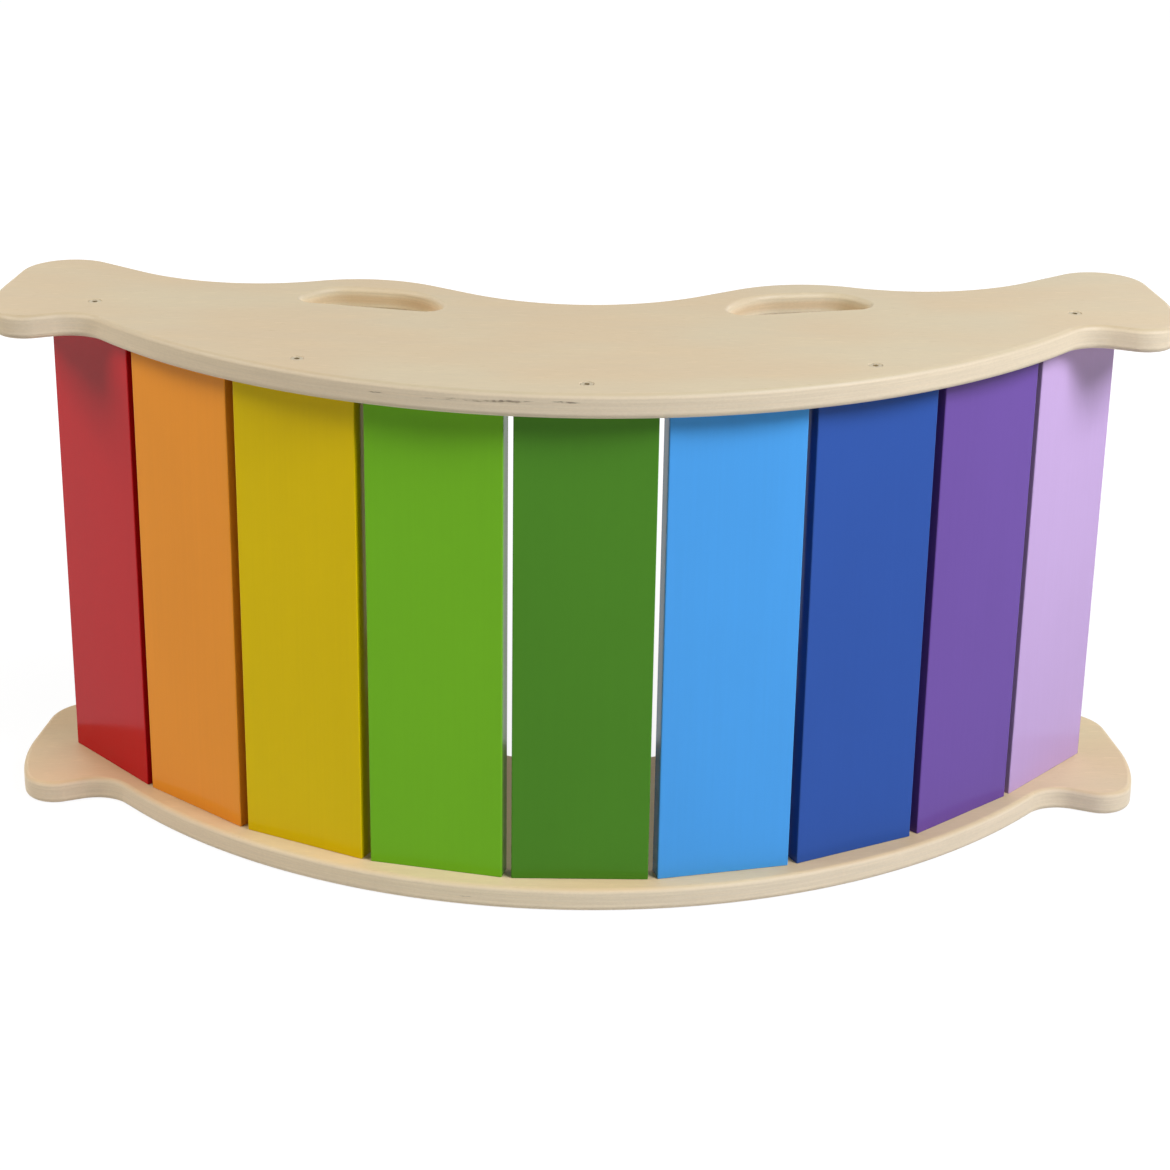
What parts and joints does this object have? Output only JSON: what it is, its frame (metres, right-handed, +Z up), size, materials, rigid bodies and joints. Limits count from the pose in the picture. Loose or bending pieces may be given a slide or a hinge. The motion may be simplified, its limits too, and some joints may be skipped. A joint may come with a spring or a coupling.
{
  "type": "balance board",
  "caption": "Curved balance board: painted slats in rainbow order form a cradle between two plywood side panels with rocking edges, upturned tips and hand holes.",
  "frame": {"origin": "on the floor under the middle of the board, which stands on its lower side panel: the centre of the bottom of its box", "axes": "+X along the board from the red slat to the lilac slat, +Y towards the hollow of the curve, +Z up along the slats to the upper side panel"},
  "size_m": [0.8802, 0.3184, 0.396],
  "materials": {
    "plywood": "birch plywood with a clear matt lacquer",
    "paint_red": "solid wood in satin red paint",
    "paint_orange": "solid wood in satin orange paint",
    "paint_yellow": "solid wood in satin yellow paint",
    "paint_lime": "solid wood in satin lime green paint",
    "paint_green": "solid wood in satin dark green paint",
    "paint_sky": "solid wood in satin sky blue paint",
    "paint_blue": "solid wood in satin royal blue paint",
    "paint_purple": "solid wood in satin purple paint",
    "paint_lilac": "solid wood in satin lilac paint",
    "dowel_wood": "bare beech",
    "screw_steel": "zinc-plated steel"
  },
  "bodies": {
    "root": {"lower_side_panel": "plywood", "upper_side_panel": "plywood", "slat_red": "paint_red", "slat_orange": "paint_orange", "slat_yellow": "paint_yellow", "slat_lime": "paint_lime", "slat_green": "paint_green", "slat_sky": "paint_sky", "slat_blue": "paint_blue", "slat_purple": "paint_purple", "slat_lilac": "paint_lilac", "dowels_red": "dowel_wood", "dowels_orange": "dowel_wood", "dowels_yellow": "dowel_wood", "dowels_lime": "dowel_wood", "dowels_green": "dowel_wood", "dowels_sky": "dowel_wood", "dowels_blue": "dowel_wood", "dowels_purple": "dowel_wood", "dowels_lilac": "dowel_wood", "screws_lower": "screw_steel", "screws_upper": "screw_steel"}
  },
  "joints": []
}
